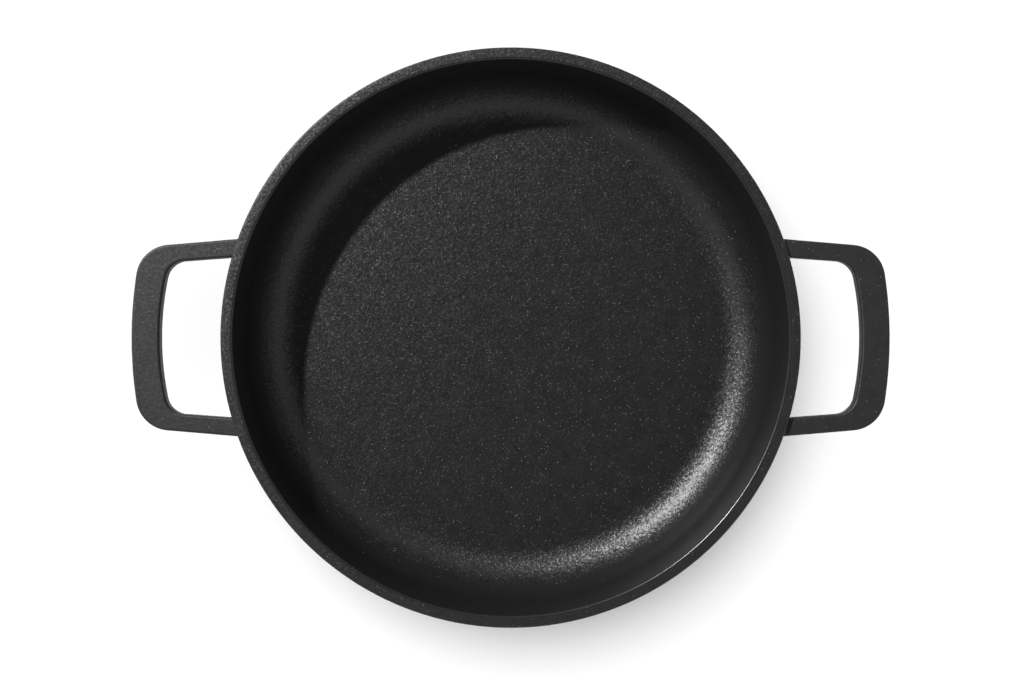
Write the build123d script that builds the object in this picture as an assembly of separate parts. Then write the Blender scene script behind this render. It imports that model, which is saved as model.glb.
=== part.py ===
from build123d import *
from math import cos, pi, radians, sin, sqrt, tan
import os

# Two-handled cast pan. Lengths are in millimetres and angles in degrees.
# The pan stands on Z = 0, +Z is up, and +X runs along its two handles.

# Bowl
mouth_radius = 140.0  # half of the 280 mm nominal size
rim_width = 6.3  # flat land round the mouth
rim_inner_round = 1.3
rim_outer_round = 1.0
inside_depth = 40.0
floor_thickness = 7.0  # from the foot ring's face to the cooking floor
wall_thickness = 5.0  # wall where it meets the floor
inner_draft = 9.0  # lean of the inside wall
inner_corner_radius = 25.0
outer_corner_radius = 24.0

# Steel disc let into the underside
plate_radius = 100.0
plate_thickness = 1.0
plate_lift = 0.5  # the disc stays this far above what the foot ring stands on
plate_side_gap = 0.2
perforation_radius = 2.0
perforation_pitch = 12.0  # between rings, and nearly so round each ring
perforation_margin = 5.0  # solid edge outside the last ring
ring_count_step = 6  # more perforations in each ring than in the last
perforation_gap = 0.05  # between a perforation and the aluminium stud in it

# Loop handles
handle_drop = 4.0  # top of the handle below the rim
handle_thickness = 6.5
handle_reach = 45.9  # grip bar's outer face beyond the rim
handle_half_width = 49.4  # middle of the handle to a leg's outer side, at the rim
leg_width = 9.1
bar_width = 14.2
leg_taper_outer = 4.8  # how much the legs' outer sides close in
leg_taper_inner = 4.2
bar_bow_outer = 215.0  # radius of the grip bar's outer face
bar_bow_inner = 150.0
handle_corner_outer = 17.5
handle_corner_inner = 10.5
handle_edge_round = 1.2
wall_gap = 0.3  # between a handle and the pan's wall

# Feet under the legs, and the cast bosses that they sit on
screw_drop = 10.0  # screw axis below the handle's underside
boss_radius = 4.0
boss_height = 3.0  # boss face beyond the wall, on the screw axis
boss_side_gap = 0.15
foot_overhang = 1.0  # a foot is this much wider than its leg on each side
foot_web = 2.5  # foot metal between the boss face and the washer
foot_edge_round = 1.2

# Screws and spring washers
screw_radius = 2.0
screw_length = 8.0
screw_tip_chamfer = 0.4
thread_gap = 0.05  # between the screw and its tapped hole
screw_tip_gap = 1.0
screw_hole_gap = 0.2  # between the screw and the foot
head_radius = 3.8
head_height = 2.2
head_rim_height = 0.6
head_flat_radius = 2.1
head_dome_height = 0.2  # rise of the dome's arc over its chord
socket_width = 2.5  # across the flats of the hexagon
socket_depth = 1.3
washer_outer_radius = 3.8
washer_thickness = 1.0
washer_bore_gap = 0.1
washer_slit = 0.6
washer_slit_angle = 20.0

# Places that follow from the sizes above
pan_height = floor_thickness + inside_depth
rim_radius = mouth_radius + rim_width
inner_foot_radius = mouth_radius - inside_depth * tan(radians(inner_draft))
outer_slope = (rim_radius - inner_foot_radius - wall_thickness) / inside_depth
handle_top = pan_height - handle_drop
handle_underside = handle_top - handle_thickness
leg_middle = handle_half_width - leg_width / 2
screw_height = handle_underside - screw_drop
inside_bowl = inner_foot_radius / 2  # where handle shapes begin, before they are cut to the wall


def outer_wall_radius(height):
    """Radius of the bowl's outside at a height."""
    return rim_radius - (pan_height - height) * outer_slope


def wall_distance(height, sideways):
    """How far along X the outside wall is, at a height and a distance from the X axis."""
    return sqrt(outer_wall_radius(height) ** 2 - sideways**2)


boss_face = wall_distance(screw_height, leg_middle) + boss_height
foot_face = boss_face + foot_web
washer_face = foot_face + washer_thickness
screw_tip = washer_face - screw_length


def along_x(start, sideways, height):
    """Workplane that faces +X, for what lies on a screw's axis."""
    return Plane(origin=(start, sideways, height), x_dir=(0, 1, 0), z_dir=(1, 0, 0))


def rod_along_x(radius, start, end, sideways):
    """Round rod on a screw's axis between two places on X."""
    return along_x(start, sideways, screw_height) * extrude(Circle(radius), end - start)


def four_corners(shape):
    """The shape given for the right rear, with its three mirror images."""
    right = [shape, mirror(shape, about=Plane.XZ)]
    return right + [mirror(one, about=Plane.YZ) for one in right]


# Bowl


def bowl_section():
    """Half section of the bowl: floor, leaning wall and rim land."""
    corners = [
        (0, 0),
        (outer_wall_radius(0), 0),
        (rim_radius, pan_height),
        (mouth_radius, pan_height),
        (inner_foot_radius, floor_thickness),
        (0, floor_thickness),
    ]
    section = make_face(Plane.XZ * Polyline(*corners, close=True))

    def corner(index):
        x, z = corners[index]
        return section.vertices().sort_by_distance((x, 0, z))[0]

    section = fillet(corner(1), outer_corner_radius)
    section = fillet(corner(2), rim_outer_round)
    section = fillet(corner(3), rim_inner_round)
    return fillet(corner(4), inner_corner_radius)


def perforation_places():
    """Middle of the disc, and the rings of perforations round it."""
    places = [(0.0, 0.0)]
    reach = plate_radius - perforation_margin - perforation_radius
    for ring in range(1, int(reach / perforation_pitch) + 1):
        count = round(ring_count_step * ring)
        for step in range(count):
            angle = 2 * pi * (step + ring / 2) / count
            radius = ring * perforation_pitch
            places.append((radius * cos(angle), radius * sin(angle)))
    return places


def make_pan_body():
    """Bowl with its bosses, tapped holes, plate recess and the studs that hold the plate."""
    body = revolve(bowl_section(), Axis.Z)
    plate_seat = plate_lift + plate_thickness
    body -= extrude(Circle(plate_radius + plate_side_gap), plate_seat)
    stud = Circle(perforation_radius - perforation_gap)
    studs = Sketch() + [Pos(x, y) * stud for x, y in perforation_places()]
    body += Pos(0, 0, plate_lift) * extrude(studs, plate_thickness)
    root = wall_distance(screw_height, leg_middle) - wall_thickness / 2
    body += four_corners(rod_along_x(boss_radius, root, boss_face, leg_middle))
    hole_end = screw_tip - screw_tip_gap
    body -= four_corners(rod_along_x(screw_radius + thread_gap, hole_end, boss_face, leg_middle))
    return body


def make_induction_plate():
    """Steel disc with its rings of perforations."""
    perforation = Circle(perforation_radius)
    disc = Circle(plate_radius) - [Pos(x, y) * perforation for x, y in perforation_places()]
    return Pos(0, 0, plate_lift) * extrude(disc, plate_thickness)


# Handles


def loop_outline(half_width, taper, bar_face, bow_radius, corner_radius):
    """Area between two closing sides and a bowed end, with rounded corners."""
    slope = tan(radians(taper))
    bow_centre = bar_face - bow_radius
    # Where a side, y = half_width - slope * (x - rim_radius), meets the bow
    side_at_centre = half_width - slope * (bow_centre - rim_radius)
    squares = 1 + slope**2
    along = slope * side_at_centre + sqrt(squares * bow_radius**2 - side_at_centre**2)
    corner_x = bow_centre + along / squares
    corner_y = half_width - slope * (corner_x - rim_radius)
    start_y = half_width - slope * (inside_bowl - rim_radius)
    front_corner = (corner_x, -corner_y)
    rear_corner = (corner_x, corner_y)
    sides = Polyline(front_corner, (inside_bowl, -start_y), (inside_bowl, start_y), rear_corner)
    bow = ThreePointArc(rear_corner, (bar_face, 0), front_corner)
    outline = make_face([sides, bow])
    ends = outline.vertices().group_by(Axis.X)[-1]
    return fillet(ends, corner_radius)


def make_loop():
    """Flat loop of a handle, its legs running on into the pan's wall."""
    bar_outer = rim_radius + handle_reach
    bar_inner = bar_outer - bar_width
    gap_half_width = handle_half_width - leg_width
    outside = loop_outline(
        handle_half_width, leg_taper_outer, bar_outer, bar_bow_outer, handle_corner_outer
    )
    finger_gap = loop_outline(
        gap_half_width, leg_taper_inner, bar_inner, bar_bow_inner, handle_corner_inner
    )
    loop = Pos(0, 0, handle_underside) * extrude(outside - finger_gap, handle_thickness)
    levels = loop.edges().group_by(Axis.Z)
    long_edges = [edge for edge in levels[0] + levels[-1] if edge.center().X > inner_foot_radius]
    return fillet(long_edges, handle_edge_round)


def make_foot(sideways):
    """Foot under a leg: a tongue with a round lower end, flat where the washer sits."""
    half_width = leg_width / 2 + foot_overhang
    rise = screw_drop + handle_edge_round
    outline = Circle(half_width) + Pos(0, rise / 2) * Rectangle(2 * half_width, rise)
    foot = along_x(inside_bowl, sideways, screw_height) * extrude(outline, foot_face - inside_bowl)
    outer_edges = foot.faces().sort_by(Axis.X)[-1].edges()
    below_leg = [edge for edge in outer_edges if edge.center().Z < handle_underside]
    return fillet(below_leg, foot_edge_round)


def make_right_handle():
    """Loop and two feet as one casting, cut to the pan's wall and bored for its bosses."""
    handle = make_loop() + make_foot(leg_middle) + make_foot(-leg_middle)
    low = outer_wall_radius(0) + wall_gap
    high = rim_radius + wall_gap
    handle -= Pos(0, 0, pan_height / 2) * Cone(low, high, pan_height)
    for sideways in (leg_middle, -leg_middle):
        handle -= rod_along_x(boss_radius + boss_side_gap, inside_bowl, boss_face, sideways)
        handle -= rod_along_x(screw_radius + screw_hole_gap, boss_face, foot_face, sideways)
    return handle


# Fasteners, each made at the right rear


def make_screw():
    """Button-head screw with a hexagon socket, its axis along X."""
    dome_top = (head_flat_radius, head_height)
    dome_foot = (head_radius, head_rim_height)
    straight = Polyline(
        dome_top,
        (0, head_height),
        (0, -screw_length),
        (screw_radius - screw_tip_chamfer, -screw_length),
        (screw_radius, -screw_length + screw_tip_chamfer),
        (screw_radius, 0),
        (head_radius, 0),
        dome_foot,
    )
    dome = SagittaArc(dome_top, dome_foot, head_dome_height)
    screw = revolve(Plane.XZ * make_face([straight, dome]), Axis.Z)
    socket = RegularPolygon(socket_width / 2, 6, major_radius=False)
    screw -= Pos(0, 0, head_height - socket_depth) * extrude(socket, socket_depth)
    return along_x(washer_face, leg_middle, screw_height) * screw


def make_washer():
    """Split spring washer, pressed flat under the screw head."""
    ring = Circle(washer_outer_radius) - Circle(screw_radius + washer_bore_gap)
    washer = extrude(ring, washer_thickness)
    one_side = (Align.CENTER, Align.MIN, Align.CENTER)
    slit = Box(washer_slit, washer_outer_radius, 2 * washer_thickness, align=one_side)
    washer -= Pos(0, 0, washer_thickness / 2) * Rot(0, washer_slit_angle, 0) * slit
    return along_x(foot_face, leg_middle, screw_height) * washer


# The parts, one file for each piece

right_handle = make_right_handle()
parts = {
    "pan_body": make_pan_body(),
    "induction_plate": make_induction_plate(),
    "right_handle": right_handle,
    "left_handle": mirror(right_handle, about=Plane.YZ),
}
corner_names = ["right_rear", "right_front", "left_rear", "left_front"]
for fastener, right_rear in [("screw", make_screw()), ("washer", make_washer())]:
    for corner_name, solid in zip(corner_names, four_corners(right_rear)):
        parts[f"{corner_name}_{fastener}"] = solid

os.makedirs("parts", exist_ok=True)
for name, solid in parts.items():
    export_step(solid, f"parts/{name}.step")
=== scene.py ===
import math

import bmesh
import bpy
from mathutils import Matrix, Vector


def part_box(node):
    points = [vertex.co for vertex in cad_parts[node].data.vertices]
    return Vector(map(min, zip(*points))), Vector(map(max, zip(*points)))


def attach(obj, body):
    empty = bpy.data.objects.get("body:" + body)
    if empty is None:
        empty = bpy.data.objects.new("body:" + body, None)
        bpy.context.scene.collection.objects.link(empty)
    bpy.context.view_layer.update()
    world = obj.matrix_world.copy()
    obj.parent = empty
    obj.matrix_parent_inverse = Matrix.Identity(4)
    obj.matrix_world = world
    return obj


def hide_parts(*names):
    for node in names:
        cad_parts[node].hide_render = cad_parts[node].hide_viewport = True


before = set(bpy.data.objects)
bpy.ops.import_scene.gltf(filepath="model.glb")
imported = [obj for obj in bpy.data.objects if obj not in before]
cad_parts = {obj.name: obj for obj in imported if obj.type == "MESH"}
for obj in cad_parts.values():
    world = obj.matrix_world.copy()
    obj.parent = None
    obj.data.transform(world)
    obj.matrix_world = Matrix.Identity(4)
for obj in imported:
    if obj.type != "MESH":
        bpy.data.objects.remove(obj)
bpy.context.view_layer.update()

# The bowl is one aluminium casting, coated in charcoal non-stick and then turned bare on its
# underside. Bosses on its leaning wall take the handle screws, and studs under the floor are
# pressed through the steel disc.

mouth_radius = 0.140
rim_width = 0.0063
rim_inner_round = 0.0013
rim_outer_round = 0.001
floor_height = 0.007
wall_thickness = 0.005
inner_draft = math.radians(9)
inner_corner_radius = 0.025
outer_corner_radius = 0.024
recess_radius = 0.1002
recess_height = 0.0015
turned_edge_break = 0.0003
recess_ledge = 0.002

pan_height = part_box("pan_body")[1].z
rim_radius = mouth_radius + rim_width
inner_foot_radius = mouth_radius - (pan_height - floor_height) * math.tan(inner_draft)
outer_slope = (rim_radius - inner_foot_radius - wall_thickness) / (pan_height - floor_height)
outer_foot_radius = rim_radius - pan_height * outer_slope
bowl_corners = [
    (recess_radius - recess_ledge, recess_height, 0),
    (recess_radius, recess_height, turned_edge_break),
    (recess_radius, 0, turned_edge_break),
    (outer_foot_radius, 0, outer_corner_radius),
    (rim_radius, pan_height, rim_outer_round),
    (mouth_radius, pan_height, rim_inner_round),
    (inner_foot_radius, floor_height, inner_corner_radius),
    (0, floor_height, 0),
]
bowl_segments = 360
corner_rings = 14
longest_ring = 0.004
crease_angle = math.radians(30)
merge_distance = 1e-6


def round_corners(corners, rings):
    """Points along a line whose corners, each (radius, height, rounding), are turned into arcs."""
    points = [Vector(corners[0][:2])]
    for before, here, after in zip(corners, corners[1:], corners[2:]):
        corner = Vector(here[:2])
        back = (Vector(before[:2]) - corner).normalized()
        ahead = (Vector(after[:2]) - corner).normalized()
        half = back.angle(ahead) / 2
        centre = corner + (back + ahead).normalized() * here[2] / math.sin(half)
        spoke = corner + back * here[2] / math.tan(half) - centre
        turn = spoke.angle_signed(corner + ahead * here[2] / math.tan(half) - centre)
        for ring in range(rings + 1):
            points.append(centre + Matrix.Rotation(-turn * ring / rings, 2) @ spoke)
    points.append(Vector(corners[-1][:2]))
    return points


def add_rings(points, longest):
    """The same line with its long straight runs cut into shorter ones."""
    result = [points[0]]
    for start, end in zip(points, points[1:]):
        runs = max(1, math.ceil((end - start).length / longest))
        result += [start.lerp(end, run / runs) for run in range(1, runs + 1)]
    return result


def turned(points, segments):
    """Shape made by turning a line, given as (radius, height) points, about Z."""
    shape = bmesh.new()
    line = [shape.verts.new((point.x, 0, point.y)) for point in points]
    runs = [shape.edges.new(pair) for pair in zip(line, line[1:])]
    bmesh.ops.spin(
        shape,
        geom=line + runs,
        axis=(0, 0, 1),
        cent=(0, 0, 0),
        angle=math.tau,
        steps=segments,
        use_merge=True,
    )
    bmesh.ops.remove_doubles(shape, verts=shape.verts, dist=merge_distance)
    return shape


def finished(name, shape):
    """Object for a shape, smooth except at edges that turn by more than the crease angle."""
    bmesh.ops.recalc_face_normals(shape, faces=shape.faces)
    mesh = bpy.data.meshes.new(name)
    shape.to_mesh(mesh)
    shape.free()
    mesh.shade_smooth()
    mesh.set_sharp_from_angle(angle=crease_angle)
    piece = bpy.data.objects.new(name, mesh)
    bpy.context.scene.collection.objects.link(piece)
    return piece


stud_radius = 0.00195
stud_drop = 0.001
stud_edge_break = 0.0001
stud_pitch = 0.012
stud_rings = 7
ring_count_step = 6
stud_sides = 32


def stud_places():
    """Middle of the disc, and the rings of studs round it."""
    places = [Vector((0, 0, recess_height))]
    for ring in range(1, stud_rings + 1):
        count = ring_count_step * ring
        for step in range(count):
            angle = math.tau * (step + ring / 2) / count
            place = Vector((math.cos(angle), math.sin(angle), 0)) * ring * stud_pitch
            places.append(place + Vector((0, 0, recess_height)))
    return places


def round_ring(shape, centre, radius):
    """Ring of points about a centre, facing down, as verts of a shape."""
    angles = [math.tau * side / stud_sides for side in range(stud_sides)]
    return [
        shape.verts.new(centre + Vector((math.cos(angle), math.sin(angle), 0)) * radius)
        for angle in angles
    ]


def bridge(shape, first, second):
    """Faces between two rings with as many points."""
    for index, point in enumerate(first):
        shape.faces.new((first[index - 1], point, second[index], second[index - 1]))


bowl_line = add_rings(round_corners(bowl_corners, corner_rings), longest_ring)
bowl_shape = turned(bowl_line, bowl_segments)
ceiling_edges = [edge for edge in bowl_shape.edges if edge.is_boundary]
for place in stud_places():
    root = round_ring(bowl_shape, place, stud_radius)
    foot = round_ring(bowl_shape, place - Vector((0, 0, stud_drop - stud_edge_break)), stud_radius)
    face = round_ring(bowl_shape, place - Vector((0, 0, stud_drop)), stud_radius - stud_edge_break)
    bridge(bowl_shape, root, foot)
    bridge(bowl_shape, foot, face)
    bowl_shape.faces.new(face)
    ceiling_edges += [bowl_shape.edges.get((root[side - 1], root[side])) for side in range(stud_sides)]
bmesh.ops.triangle_fill(bowl_shape, edges=ceiling_edges, use_beauty=True)
bowl = finished("bowl", bowl_shape)

boss_radius = 0.004
boss_height = 0.003
boss_hole_radius = 0.00205
boss_hole_depth = 0.0055
boss_sides = 48
leg_middle = 0.04485
screw_height = 0.0265
wall_at_boss = math.sqrt((rim_radius - (pan_height - screw_height) * outer_slope) ** 2 - leg_middle**2)
boss_face = wall_at_boss + boss_height


def rods_along_x(radius, start, end):
    """Four round rods on the axes of the handle screws, to add to a piece or cut from it."""
    shape = bmesh.new()
    for side in (1, -1):
        for sideways in (leg_middle, -leg_middle):
            middle = Vector((side * (start + end) / 2, sideways, screw_height))
            bmesh.ops.create_cone(
                shape,
                cap_ends=True,
                segments=boss_sides,
                radius1=radius,
                radius2=radius,
                depth=end - start,
                matrix=Matrix.Translation(middle) @ Matrix.Rotation(math.pi / 2, 4, "Y"),
            )
    return finished("rods", shape)


def combined(piece, tool, operation):
    """Add a tool's volume to a piece or cut it away, and delete the tool."""
    step = piece.modifiers.new(operation, "BOOLEAN")
    step.operation = operation
    step.solver = "EXACT"
    step.object = tool
    result = piece.evaluated_get(bpy.context.evaluated_depsgraph_get())
    mesh = bpy.data.meshes.new_from_object(result)
    piece.modifiers.clear()
    piece.data = mesh
    bpy.data.objects.remove(tool)


bosses = rods_along_x(boss_radius, wall_at_boss - wall_thickness / 2, boss_face)
combined(bowl, bosses, "UNION")
boss_holes = rods_along_x(boss_hole_radius, boss_face - boss_hole_depth, boss_face + boss_height)
combined(bowl, boss_holes, "DIFFERENCE")
bowl.data.set_sharp_from_angle(angle=crease_angle)


def new_material(name):
    """Material with a Principled shader: its node tree and that shader."""
    material = bpy.data.materials.new(name)
    material.use_nodes = True
    return material, material.node_tree, material.node_tree.nodes["Principled BSDF"]


def add_node(tree, kind, inputs, **settings):
    """Node of a kind. Each input, by name or number, gets a value or another node's output."""
    node = tree.nodes.new("ShaderNode" + kind)
    for setting, value in settings.items():
        setattr(node, setting, value)
    for name, value in inputs.items():
        if isinstance(value, bpy.types.NodeSocket):
            tree.links.new(value, node.inputs[name])
        else:
            node.inputs[name].default_value = value
    return node


def fade(tree, value, start, end, low=0.0, high=1.0):
    """Output that goes from low to high as a value goes from start to end."""
    ramp = {"Value": value, "From Min": start, "From Max": end, "To Min": low, "To Max": high}
    return add_node(tree, "MapRange", ramp, interpolation_type="SMOOTHSTEP").outputs["Result"]


def maths(tree, operation, first, second):
    """Output of a sum with two terms."""
    return add_node(tree, "Math", {0: first, 1: second}, operation=operation).outputs[0]


def blended(tree, share, first, second):
    """Output that mixes two colours."""
    return add_node(tree, "Mix", {0: share, 6: first, 7: second}, data_type="RGBA").outputs[2]


def clouds(tree, place, size, detail=2.0):
    """Soft random output from 0 to 1, with clouds of a size. It is mostly between 0.3 and 0.7."""
    noise = {"Vector": place, "Scale": 1 / size, "Detail": detail, "Roughness": 0.55}
    return add_node(tree, "TexNoise", noise).outputs[0]


charcoal = (0.0042, 0.0042, 0.0044, 1)
charcoal_pale = (0.0062, 0.0061, 0.0061, 1)
# the wall's charcoal is painted paler than the floor's, as painted light that makes the wall look brighter
wall_charcoal_painted_light = (0.0095, 0.0095, 0.0097, 1)
charcoal_cloud_size = 0.008
cloud_roughness_swing = 0.008
sandy_below = 0.013
smooth_above = 0.020
sand_extra_roughness = 0.04
smooth_tilt_share = 0.1
rim_polish_start = 0.002  # depths under the rim's top
rim_polish_full = 0.001
rim_polish = 0.06
fleck_colour = (0.23, 0.22, 0.21, 1)
fleck_spacing = 0.0011
fleck_radius = 0.00030
fleck_core = 0.4  # share of a fleck's radius that has its full colour
fleck_chance_outside = 0.22
fleck_chance_wall = 0.05
fleck_chance_floor = 0.50
grain_spacing = 0.0007
pebble_size = 0.0016
pebble_height = 0.001  # where the tilt is 1


def nonstick(name, roughness, tilt, lining):
    """Charcoal non-stick of tilted grains and pale flecks. As a lining it is sandy on the floor only, and
    its wall is painted paler, as painted light.
    """
    material, tree, shader = new_material(name)
    place = add_node(tree, "TexCoord", {}).outputs["Object"]
    cloud = clouds(tree, place, charcoal_cloud_size, detail=4.0)
    smoothest, roughest = roughness - cloud_roughness_swing, roughness + cloud_roughness_swing
    rough = fade(tree, cloud, 0.3, 0.7, smoothest, roughest)
    fleck_chance = fleck_chance_outside
    if lining:
        height = add_node(tree, "SeparateXYZ", {"Vector": place}).outputs["Z"]
        sand = fade(tree, height, smooth_above, sandy_below)
        rim_edge = fade(tree, height, pan_height - rim_polish_start, pan_height - rim_polish_full)
        rough = maths(tree, "SUBTRACT", rough, maths(tree, "MULTIPLY", rim_edge, rim_polish))
        rough = maths(tree, "ADD", rough, maths(tree, "MULTIPLY", sand, sand_extra_roughness))
        tilt = fade(tree, sand, 0, 1, smooth_tilt_share * tilt, tilt)
        fleck_chance = fade(tree, sand, 0, 1, fleck_chance_wall, fleck_chance_floor)
    flecks = add_node(tree, "TexVoronoi", {"Vector": place, "Scale": 1 / fleck_spacing}).outputs
    fleck_reach = fleck_radius / fleck_spacing
    near = fade(tree, flecks["Distance"], fleck_reach, fleck_core * fleck_reach)
    chance, shade, _ = add_node(tree, "SeparateColor", {"Color": flecks["Color"]}).outputs
    fleck = maths(tree, "MULTIPLY", near, maths(tree, "LESS_THAN", chance, fleck_chance))
    fleck = maths(tree, "MULTIPLY", fleck, maths(tree, "POWER", shade, 3.0))
    ground = blended(tree, fade(tree, cloud, 0.35, 0.65), charcoal, charcoal_pale)
    if lining:
        # the wall takes the paler charcoal, painted light that brightens it; the sandy floor keeps the
        # clouded charcoal
        ground = blended(tree, sand, wall_charcoal_painted_light, ground)
    tree.links.new(blended(tree, fleck, ground, fleck_colour), shader.inputs["Base Color"])
    tree.links.new(rough, shader.inputs["Roughness"])
    pebbles = maths(tree, "MULTIPLY", clouds(tree, place, pebble_size, detail=3.0), tilt)
    bump = add_node(tree, "Bump", {"Height": pebbles, "Distance": pebble_height})
    grains = add_node(tree, "TexVoronoi", {"Vector": place, "Scale": 1 / grain_spacing}).outputs["Color"]
    lean = add_node(tree, "VectorMath", {0: grains, 1: (0.5, 0.5, 0.5)}, operation="SUBTRACT").outputs[0]
    lean = add_node(tree, "VectorMath", {0: lean, "Scale": tilt}, operation="SCALE").outputs[0]
    facing = add_node(tree, "VectorMath", {0: bump.outputs["Normal"], 1: lean}, operation="ADD").outputs[0]
    facing = add_node(tree, "VectorMath", {0: facing}, operation="NORMALIZE").outputs[0]
    tree.links.new(facing, shader.inputs["Normal"])
    return material


aluminium = (0.80, 0.80, 0.81, 1)
aluminium_dull = (0.70, 0.70, 0.71, 1)
metal_cloud_size = 0.02
turning_pitch = 0.0004
turning_depth = 0.000012
turning_roughness_swing = 0.1
turning_anisotropy = 0.5


def turned_metal(name, bright, dull, roughness):
    """Bare metal that was turned on a lathe, with fine rings about the pan's middle."""
    material, tree, shader = new_material(name)
    place = add_node(tree, "TexCoord", {}).outputs["Object"]
    flat = add_node(tree, "VectorMath", {0: place, 1: (1, 1, 0)}, operation="MULTIPLY").outputs[0]
    radius = add_node(tree, "VectorMath", {0: flat}, operation="LENGTH").outputs["Value"]
    ring_noise = {"W": radius, "Scale": 1 / turning_pitch, "Detail": 1.0}
    rings = add_node(tree, "TexNoise", ring_noise, noise_dimensions="1D").outputs[0]
    cloud = clouds(tree, place, metal_cloud_size)
    tree.links.new(blended(tree, fade(tree, cloud, 0.3, 0.7), bright, dull), shader.inputs["Base Color"])
    rough = fade(tree, rings, 0.3, 0.7, roughness, roughness + turning_roughness_swing)
    tree.links.new(rough, shader.inputs["Roughness"])
    shader.inputs["Metallic"].default_value = 1.0
    shader.inputs["Anisotropic"].default_value = turning_anisotropy
    around = add_node(tree, "Tangent", {}, direction_type="RADIAL", axis="Z").outputs[0]
    tree.links.new(around, shader.inputs["Tangent"])
    bump = add_node(tree, "Bump", {"Height": rings, "Distance": turning_depth})
    tree.links.new(bump.outputs["Normal"], shader.inputs["Normal"])
    return material


bowl.data.materials.clear()
bowl.data.materials.append(nonstick("coated_outside", roughness=0.46, tilt=0.16, lining=False))
bowl.data.materials.append(nonstick("coated_inside", roughness=0.345, tilt=0.175, lining=True))
bowl.data.materials.append(turned_metal("turned_aluminium", aluminium, aluminium_dull, roughness=0.28))
bare_height = 0.00012  # the turning tool takes the coating off up to here
for face in bowl.data.polygons:
    radius, height = face.center.xy.length, face.center.z
    wall_middle = mouth_radius + wall_thickness / 2 - (pan_height - height) * math.tan(inner_draft)
    if height < bare_height or (radius < recess_radius and height < recess_height + bare_height):
        face.material_index = 2
    elif face.normal.z > 0 and radius < min(wall_middle, mouth_radius + rim_inner_round):
        face.material_index = 1
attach(bowl, "root")
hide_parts("pan_body")


def clad(node, material):
    """Give a CAD node a material of its own."""
    node.data.materials.clear()
    node.data.materials.append(material)


# The induction disc is ferritic steel, turned in fine rings. Its holes were pushed down over
# the studs of the bowl, whose ends fill them and hold it in its recess.

steel = (0.52, 0.51, 0.50, 1)
steel_dull = (0.43, 0.42, 0.41, 1)
turned_steel = turned_metal("turned_steel", steel, steel_dull, roughness=0.30)
clad(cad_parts["induction_plate"], turned_steel)

# Each loop handle is an aluminium casting with two legs and two feet, coated like the bowl.
# Its feet sit over the bosses, and it is held by two screws from outside.

coated_handle = nonstick("coated_handle", roughness=0.54, tilt=0.10, lining=False)
for handle in ("left_handle", "right_handle"):
    clad(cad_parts[handle], coated_handle)

# The screws and their spring washers are stainless steel, left satin from tumbling. Each
# screw passes its washer and the handle's foot into a boss.

stainless = (0.62, 0.61, 0.60, 1)
stainless_dull = (0.50, 0.49, 0.48, 1)
stain_size = 0.0015
scuff_size = 0.0002
scuff_depth = 0.000006


def tumbled_steel(name):
    """Satin stainless steel with soft clouds and very fine scuffs."""
    material, tree, shader = new_material(name)
    place = add_node(tree, "TexCoord", {}).outputs["Object"]
    cloud = clouds(tree, place, stain_size)
    scuffs = clouds(tree, place, scuff_size)
    colour = blended(tree, fade(tree, cloud, 0.3, 0.7), stainless, stainless_dull)
    tree.links.new(colour, shader.inputs["Base Color"])
    tree.links.new(fade(tree, scuffs, 0.3, 0.7, low=0.24, high=0.36), shader.inputs["Roughness"])
    shader.inputs["Metallic"].default_value = 1.0
    bump = add_node(tree, "Bump", {"Height": scuffs, "Distance": scuff_depth})
    tree.links.new(bump.outputs["Normal"], shader.inputs["Normal"])
    return material


satin_steel = tumbled_steel("satin_steel")
for corner in ("right_rear", "right_front", "left_rear", "left_front"):
    clad(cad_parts[corner + "_screw"], satin_steel)
    clad(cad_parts[corner + "_washer"], satin_steel)

# The table is matt white paper. It looks white to the camera and in reflections, and keeps
# the pan's soft shadow.

table_half_side = 3.0
paper_colour = (0.60, 0.60, 0.60, 1)
paper_roughness = 0.8
paper_lift = 0.24  # glow that only the camera and reflections see
table_shape = bmesh.new()
bmesh.ops.create_grid(table_shape, x_segments=1, y_segments=1, size=table_half_side)
table = finished("table", table_shape)
paper, tree, shader = new_material("paper")
table.data.materials.append(paper)
shader.inputs["Base Color"].default_value = paper_colour
shader.inputs["Roughness"].default_value = paper_roughness
shader.inputs["Emission Color"].default_value = (1, 1, 1, 1)
rays = add_node(tree, "LightPath", {}).outputs
seen = maths(tree, "MAXIMUM", rays["Is Camera Ray"], rays["Is Glossy Ray"])
seen = maths(tree, "MAXIMUM", seen, rays["Is Transmission Ray"])
tree.links.new(maths(tree, "MULTIPLY", seen, paper_lift), shader.inputs["Emission Strength"])

# A small hard lamp from the upper left lights the pan. A broad soft one lights the table, and
# only the bowl blocks it, so that the paper stays white inside the handles. Round the pan
# the studio is white near the ground and dark overhead.


def sun(name, towards, strength, spread, table_state):
    """Distant lamp with an angular size in degrees, which lights the table alone or all but it."""
    lamp = bpy.data.objects.new(name, bpy.data.lights.new(name, "SUN"))
    lamp.data.energy = strength
    lamp.data.angle = math.radians(spread)
    lamp.rotation_euler = towards.to_track_quat("Z", "Y").to_euler()
    bpy.context.scene.collection.objects.link(lamp)
    receivers = bpy.data.collections.new(name + "_lights")
    receivers.objects.link(table)
    lamp.light_linking.receiver_collection = receivers
    receivers.collection_objects[0].light_linking.link_state = table_state
    return lamp


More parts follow.
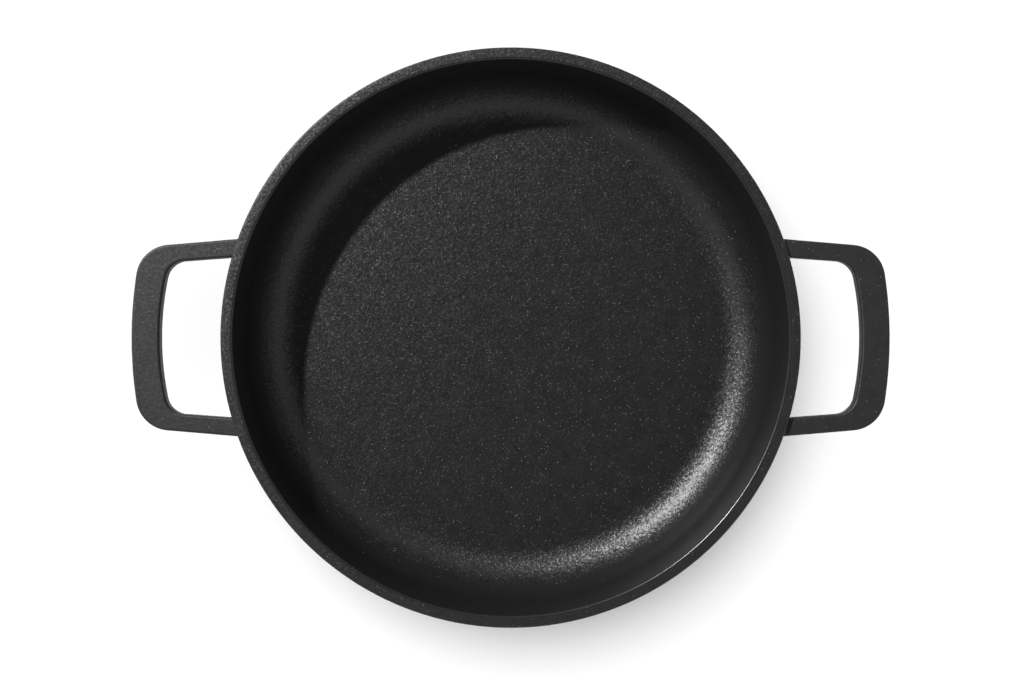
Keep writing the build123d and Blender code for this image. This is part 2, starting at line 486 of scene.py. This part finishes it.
pan_lamp_side = Vector((-0.524, 0.480, 0.704))
table_lamp_side = Vector((-0.277, 0.443, 0.853))
sun("pan_lamp", pan_lamp_side, strength=4.6, spread=2.5, table_state="EXCLUDE")
table_lamp = sun("table_lamp", table_lamp_side, strength=3.9, spread=50, table_state="INCLUDE")
blockers = bpy.data.collections.new("table_lamp_blockers")
blockers.objects.link(bowl)
table_lamp.light_linking.blocker_collection = blockers

world = bpy.data.worlds.new("studio")
bpy.context.scene.world = world
world.use_nodes = True
tree = world.node_tree
direction = add_node(tree, "TexCoord", {}).outputs["Generated"]
height = add_node(tree, "SeparateXYZ", {"Vector": direction}).outputs["Z"]
bright_side = {0: direction, 1: (0.500, -0.866, 0)}
towards_bright_side = add_node(tree, "VectorMath", bright_side, operation="DOT_PRODUCT").outputs["Value"]
sides = fade(tree, towards_bright_side, start=-1.0, end=1.0, low=0.32, high=0.88)
dark_overhead = fade(tree, height, start=0.68, end=0.98, low=1.0, high=0.02)
dim_low_down = fade(tree, height, start=0.15, end=0.85, low=0.1, high=1.4)
walls = maths(tree, "MULTIPLY", maths(tree, "MULTIPLY", sides, dark_overhead), dim_low_down)
ground_share = fade(tree, height, start=0.18, end=0.10)
studio = add_node(tree, "Mix", {0: ground_share, 2: walls, 3: 1.0}, data_type="FLOAT").outputs[0]
tree.links.new(studio, tree.nodes["Background"].inputs["Strength"])
tree.nodes["Background"].inputs["Color"].default_value = (1, 1, 1, 1)

# The photograph was taken from straight above the pan. The floor's size in it and the rim's
# shadow put the camera about 14 inside depths over the rim.

camera_above_rim = 0.568
camera_offset = (0.0007, -0.0017)
pixels_per_metre = 1990  # at the rim
picture_width = 1024
sensor_width = 36.0
camera = bpy.data.objects.new("camera", bpy.data.cameras.new("camera"))
camera.data.sensor_width = sensor_width
camera.data.lens = sensor_width * pixels_per_metre * camera_above_rim / picture_width
camera.location = (*camera_offset, pan_height + camera_above_rim)
bpy.context.scene.collection.objects.link(camera)
bpy.context.scene.camera = camera
bpy.context.scene.view_settings.view_transform = "Standard"
